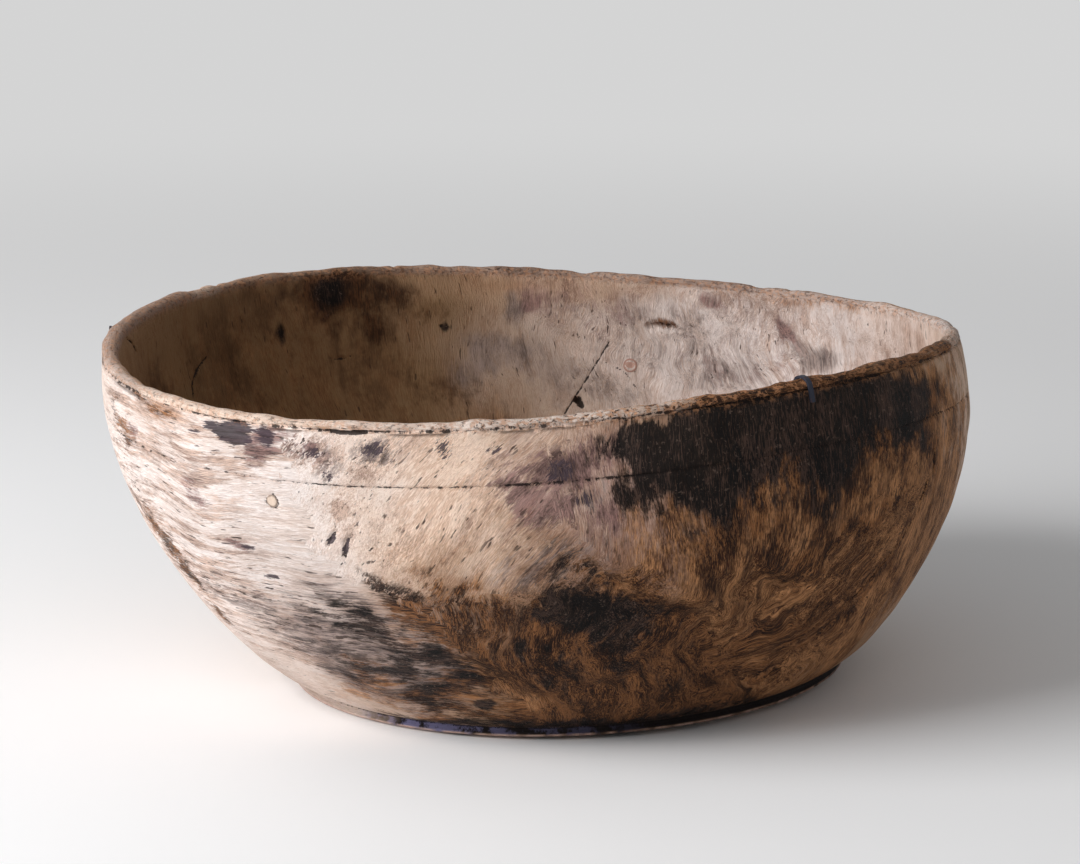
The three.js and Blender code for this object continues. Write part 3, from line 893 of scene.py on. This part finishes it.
def streaks(length, width, detail, roughness, half_range=0.18):
    """Light and dark streaks along fibres of one length and width, calmer inside the bowl."""
    reach = half_range + calm * 0.16
    noise = along_fibres(length, width).noise(1.0, detail, roughness)
    return noise.between(0.5 - reach, 0.5 + reach)


fibres = streaks(9, 0.7, 4.0, 0.7)
mottle = streaks(40, 16, 6.0, 0.76)
strands = streaks(36, 2.0, 5.0, 0.72)
hairs = streaks(5, 0.42, 3.0, 0.65, half_range=0.16)
dashes = along_fibres(9, 1.5).noise(0.8, 2.0)
pores = wood_place.noise(0.45, 4.0, 0.7)
# Moves each stain's clumps, so that no two stains share them
CLUMP_SHIFT = 70.0


def soaked(name, length, width, most, softness):
    """The share of a stain that shows: most of its middle, and ragged clumps of fibres at its edge."""
    stringy = along_fibres(length, width, CLUMP_SHIFT * len(name) + length).noise(1.0, 5.0, 0.76)
    rounded = wood_place.noise(0.7 / length, 5.0, 0.7)
    clumped = stringy + (rounded - stringy) * (calm * 0.75)
    ragged = (clumped.between(0.36, 0.64) * 0.64 + fibres * 0.36).between(0.1, 0.9)
    soft = softness + calm * 0.6
    return (ragged + painted(name) * most * (1 + soft) - 1.0).between(0.0, soft)


def two_toned(dark, light, share):
    """Wood that is dark between its fibres and light on them."""
    return wood.mixed("RGBA", share, opaque(tint(*dark)), opaque(tint(*light)))


grain = (mottle * 0.4 + fibres * 0.35 + strands * 0.25).between(0.24, 0.76)
fur = (mottle * 0.35 + fibres * 0.35 + hairs * 0.3).between(0.22, 0.78)
brown_fur = fur.between(0.2, 1.0) * (1 - calm * 0.6)
# Stains, lowest first: dark and light tone, the fibres that show, the length and width of its clumps,
# how much of it soaks in, how soft its edge is, and its strength
STAIN_LAYERS = (
    ("grime", (124, 94, 80), (220, 186, 166), fur, 50, 6, 1.0, 0.7, 0.8),
    ("honey", (54, 20, 3), (206, 148, 100), fur, 40, 14, 1.0, 1.2, 0.95),
    ("slate", (40, 34, 38), (172, 152, 144), grain, 40, 4, 0.8, 0.9, 0.88),
    ("plum", (50, 30, 37), (162, 124, 118), grain, 20, 6, 0.82, 1.0, 0.86),
    ("brown", (36, 16, 7), (150, 100, 62), brown_fur, 26, 9, 0.86, 0.85, 0.95),
)
BETWEEN_FIBRES = (0.7, 0.56, 0.47)
BETWEEN_STRANDS = (0.72, 0.6, 0.52)
FLECK = tint(176, 146, 130)
ORANGE_PIT = tint(214, 152, 108)
DARK_PIT_AND_SHADE = tint(66, 40, 28)
# The colour of painted shade in grooves, cracks and gaps
GROOVE_SHADE = tint(30, 24, 24)
colour = painted("tone", "Color").brightened(0.94 + cloud * 0.12)
# Darker between fibres and strands and lighter on fine hairs: partly the wood's own streaks, and partly
# painted shade and light of the raised fibres
fibre_shade = (1 - fur).between(0.35, 0.95) * (0.66 - level_zone * 0.26)
colour = colour.towards(colour.times(BETWEEN_FIBRES), fibre_shade)
colour = colour.towards(colour.times(BETWEEN_STRANDS), (1 - strands).between(0.6, 1.0) * 0.4)
colour = colour.brightened(0.96 + hairs * 0.1)
for name, dark, light, shown, length, width, most, softness, strength in STAIN_LAYERS:
    cover = soaked(name, length, width, most, softness) * strength
    colour = colour.towards(two_toned(dark, light, shown), cover)
soot_share = soaked("soot", 26, 8, 0.94, 0.85)
colour = colour.towards(two_toned((4, 3, 4), (76, 58, 51), fur.between(0.5, 1.05)), soot_share * 0.97)
colour = colour.towards(opaque(FLECK), pores.between(0.58, 0.68) * soot_share * 0.24)
dash_share = (dashes + painted("dashes") * 0.1).between(0.68, 0.73)
colour = colour.towards(opaque(BARK), dash_share * (0.5 + strands * 0.45))
stain_share = (painted("stain") + (fibres - 0.5) * 0.3 + (strands - 0.5) * 0.35).between(0.42, 0.56)
colour = colour.towards(two_toned((28, 24, 34), (80, 67, 76), strands), stain_share * 0.92)
# Dark pits on the rim: partly dark specks in the wood, and partly painted shade in the crumbs of the
# chipped rim; they also sink the bump
dark_and_shaded_pits = pores.between(0.55, 0.61) * painted("pits")
orange_pits = wood_place.noise(0.36, 4.0, 0.7).between(0.49, 0.56) * painted("pits")
colour = colour.towards(opaque(ORANGE_PIT), orange_pits * 0.7)
colour = colour.towards(opaque(DARK_PIT_AND_SHADE), dark_and_shaded_pits * 0.9)
# The foot band: a blue-black stain, with lighter violet clumps of painted sheen on the side towards the
# lamp
foot_sheen = clumps.between(0.2, 0.7) * painted("violet")
colour = colour.towards(two_toned((32, 25, 25), (118, 114, 146), foot_sheen), painted("foot"))
# Painted shade in grooves, cracks, rod seat gaps and the foot's crease, broken up by fibres and crumbs
crumbs = wood_place.noise(0.28, 4.0, 0.7).between(0.36, 0.64)
groove_shade_share = (painted("crease") * 1.3 + (fibres - 0.5) * 0.3 + (crumbs - 0.5) * 0.7).between(0.4, 0.75)
colour = colour.towards(opaque(GROOVE_SHADE), groove_shade_share * 0.9)

raised = fibres * 0.4 + hairs * 0.6 + strands * 0.3
sunken = dash_share * 0.6 + dark_and_shaded_pits * 2.4 + orange_pits
coat(burl, burl_shader, colour, 0.58 + fibres * 0.2, (raised - sunken).bumped(0.75, 0.001))
burl_shader.inputs["Specular IOR Level"].default_value = 0.14
bowl_mesh.materials.append(burl)
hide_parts("bowl_body")
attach(bowl_body, "root")

# Rim staple and rim nail. Wrought iron: a flat strip bent over the rim with its ends turned into the
# wall, and a nail driven into the bead. Dull blue-grey, scaled and rusted in spots.
SCALE_DARK, SCALE_LIGHT, RUST = tint(20, 22, 30), tint(62, 66, 82), tint(96, 58, 40)
old_iron, iron, iron_shader = new_finish("old_iron_scale")
iron_place = iron.make("ShaderNodeTexCoord", {}, {}, "Object")
iron_scale = iron_place.noise(900.0, 4.0)
rust_share = iron_place.noise(350.0, 3.0).between(0.55, 0.7) * 0.5
iron_colour = iron.mixed("RGBA", iron_scale, opaque(SCALE_DARK), opaque(SCALE_LIGHT))
rusted = iron_colour.towards(opaque(RUST), rust_share)
coat(old_iron, iron_shader, rusted, 0.42 + iron_scale * 0.3, iron_scale.bumped(0.5, 0.0003))
iron_shader.inputs["Metallic"].default_value = 0.6
for node_name in ("rim_staple", "rim_nail"):
    iron_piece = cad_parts[node_name]
    iron_piece.data.materials.clear()
    iron_piece.data.materials.append(old_iron)

# Wall peg and knot plug. Short wooden rods glued across the wall where it was holed, trimmed almost
# flush on both faces, so that only their end grain shows.
PEG_STAND = 0.12
PEG_SIDES = 40
PEG_EDGE_ROUND, PEG_EDGE_STEPS = 0.25, 3
PEG_DISH_MARGIN, PEG_DISH_DEPTH = 0.8, 0.1
RINGS_PHASE_PER_METRE = 5200.0
SIDE_STEP, RISE_STEP = 1, 3
outer_face = (wall_heights, wall_radii)
inner_face = (
    [height for _, height in reversed(inside_wall)],
    [radius for radius, _ in reversed(inside_wall)],
)
# The face of the wall that shows each rod, and its pale and dark tone
PEGS = (
    ("wall_peg", "pale_peg_wood", PEG_SEATS[0], outer_face, tint(220, 198, 180), tint(96, 76, 66)),
    ("knot_plug", "red_plug_wood", PEG_SEATS[1], inner_face, tint(186, 150, 136), tint(142, 104, 90)),
)


def wall_place(face, azimuth, height):
    """A place on one face of the dried wall, in metres."""
    turn = math.radians(azimuth)
    radius = np.interp(height, *face)
    return Vector(dried(np.array([[radius * math.cos(turn), radius * math.sin(turn), height]]))[0])


def out_of_wall(face, azimuth, height):
    """The direction square to one face of the dried wall, outwards."""
    ahead = wall_place(face, azimuth + SIDE_STEP, height)
    behind = wall_place(face, azimuth - SIDE_STEP, height)
    above = wall_place(face, azimuth, height + RISE_STEP)
    below = wall_place(face, azimuth, height - RISE_STEP)
    return (ahead - behind).cross(above - below).normalized()


for node_name, slot_name, (diameter, *seat, _), shown_face, pale, dark in PEGS:
    inner_end = wall_place(inner_face, *seat)
    outer_end = wall_place(outer_face, *seat)
    shown_end = wall_place(shown_face, *seat)
    axis = out_of_wall(shown_face, *seat)
    centre = shown_end + axis * ((inner_end + outer_end) / 2 - shown_end).dot(axis)
    length = (outer_end - inner_end).dot(axis) + 2 * PEG_STAND * MM
    peg_radius = diameter / 2 * MM
    rod = bmesh.new()
    bmesh.ops.create_cone(
        rod, cap_ends=True, segments=PEG_SIDES, radius1=peg_radius, radius2=peg_radius, depth=length
    )
    end_edges = [edge for edge in rod.edges if abs(edge.verts[0].co.z - edge.verts[1].co.z) < length / 2]
    bmesh.ops.bevel(
        rod, geom=end_edges, offset=PEG_EDGE_ROUND * MM, affect="EDGES", segments=PEG_EDGE_STEPS,
        profile=0.5, material=-1,
    )
    end_faces = [face for face in rod.faces if len(face.verts) > 4]
    bmesh.ops.inset_region(
        rod, faces=end_faces, thickness=PEG_DISH_MARGIN * MM, depth=-PEG_DISH_DEPTH * MM
    )
    leaning = Vector((0, 0, 1)).rotation_difference(axis).to_matrix()
    bmesh.ops.rotate(rod, verts=rod.verts, cent=(0, 0, 0), matrix=leaning)
    bmesh.ops.translate(rod, verts=rod.verts, vec=centre)
    bmesh.ops.recalc_face_normals(rod, faces=rod.faces)
    peg_mesh = bpy.data.meshes.new(node_name + "_rod")
    rod.to_mesh(peg_mesh)
    rod.free()
    peg_mesh.polygons.foreach_set("use_smooth", np.ones(len(peg_mesh.polygons), bool))
    peg = bpy.data.objects.new(node_name + "_rod", peg_mesh)
    bpy.context.collection.objects.link(peg)

    peg_wood, end_grain, peg_shader = new_finish(slot_name)
    peg_place = end_grain.make("ShaderNodeTexCoord", {}, {}, "Object")
    from_middle = end_grain.make("ShaderNodeVectorMath", {"operation": "DISTANCE"}, {
        0: peg_place, 1: tuple(centre)}, "Value")
    ring_phase = from_middle * RINGS_PHASE_PER_METRE + peg_place.noise(420.0, 2.0) * 3.0
    rings = end_grain.math("SINE", ring_phase, 0.0).between(-0.6, 0.9)
    peg_pores = peg_place.noise(1400.0, 3.0)
    peg_share = rings * 0.5 + peg_pores * 0.4
    peg_colour = end_grain.mixed("RGBA", peg_share, opaque(pale), opaque(dark))
    peg_bump = (peg_pores - rings * 0.4).bumped(0.6, 0.0004)
    coat(peg_wood, peg_shader, peg_colour, 0.6 + peg_pores * 0.3, peg_bump)
    peg_mesh.materials.append(peg_wood)
    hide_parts(node_name)
    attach(peg, "root")

# Stage: a wide pale floor that fades into an even pale distance, a large soft lamp at the left, and a
# camera at the photographed angle. Sizes in metres, lens and sensor in millimetres.
FLOOR_REACH = 9
FLOOR_SQUARES = 8
FADE_START, FADE_END = 0.5, 2.1
BACKDROP_LEVEL = 0.66
ROOM_LEVEL = 0.305
WINDOW_SIDE, WINDOW_POWER = 1.5, 69
WINDOW_PLACE, WINDOW_TARGET = (-1.9, -0.9, 1.2), (0, 0, 0.1)
LENS_LENGTH, SENSOR_WIDTH = 120.19, 36
CAMERA_PLACE, CAMERA_TARGET = (-0.0139, -1.8161, 0.5316), (-0.0157, 0, 0.1238)
ground = bmesh.new()
bmesh.ops.create_grid(ground, x_segments=FLOOR_SQUARES, y_segments=FLOOR_SQUARES, size=FLOOR_REACH)
floor_mesh = bpy.data.meshes.new("floor")
ground.to_mesh(floor_mesh)
ground.free()
floor = bpy.data.objects.new("floor", floor_mesh)
bpy.context.collection.objects.link(floor)


def backdrop_rays(field):
    """1 on rays that show the backdrop, straight or mirrored, and 0 on those that light the bowl."""
    straight_rays = field.make("ShaderNodeLightPath", {}, {}, "Is Camera Ray")
    mirrored_rays = field.make("ShaderNodeLightPath", {}, {}, "Is Glossy Ray")
    refracted_rays = field.make("ShaderNodeLightPath", {}, {}, "Is Transmission Ray")
    return field.math("MAXIMUM", field.math("MAXIMUM", straight_rays, mirrored_rays), refracted_rays)


floor_paint, paint, floor_shader = new_finish("pale_floor")
floor_shader.inputs["Base Color"].default_value = opaque(tint(246, 246, 247))
floor_shader.inputs["Roughness"].default_value = 0.8
floor_place = paint.make("ShaderNodeTexCoord", {}, {}, "Object")
from_bowl = paint.make("ShaderNodeVectorMath", {"operation": "LENGTH"}, {0: floor_place}, "Value")
distance_glow = paint.make("ShaderNodeEmission", {}, {"Strength": BACKDROP_LEVEL})
faded = paint.make("ShaderNodeMixShader", {}, {
    0: backdrop_rays(paint) * from_bowl.between(FADE_START, FADE_END),
    1: Field(floor_paint.node_tree, floor_shader.outputs[0]),
    2: distance_glow,
})
paint_out = floor_paint.node_tree.nodes["Material Output"]
floor_paint.node_tree.links.new(faded.socket, paint_out.inputs["Surface"])
floor_mesh.materials.append(floor_paint)


def aimed(thing, place, target):
    thing.location = place
    thing.rotation_euler = (Vector(target) - Vector(place)).to_track_quat("-Z", "Y").to_euler()


window = bpy.data.lights.new("window", "AREA")
window.shape = "RECTANGLE"
window.size = WINDOW_SIDE
window.size_y = WINDOW_SIDE
window.energy = WINDOW_POWER
lamp = bpy.data.objects.new("window", window)
bpy.context.collection.objects.link(lamp)
aimed(lamp, WINDOW_PLACE, WINDOW_TARGET)
world = bpy.data.worlds.new("room")
world.use_nodes = True
background = world.node_tree.nodes["Background"]
background.inputs["Color"].default_value = (1, 1, 1, 1)
sky_level = ROOM_LEVEL + backdrop_rays(Field(world.node_tree)) * (BACKDROP_LEVEL - ROOM_LEVEL)
world.node_tree.links.new(sky_level.socket, background.inputs["Strength"])
bpy.context.scene.world = world
lens = bpy.data.cameras.new("camera")
lens.lens = LENS_LENGTH
lens.sensor_width = SENSOR_WIDTH
camera = bpy.data.objects.new("camera", lens)
bpy.context.collection.objects.link(camera)
aimed(camera, CAMERA_PLACE, CAMERA_TARGET)
bpy.context.scene.camera = camera
bpy.context.scene.view_settings.view_transform = "Standard"
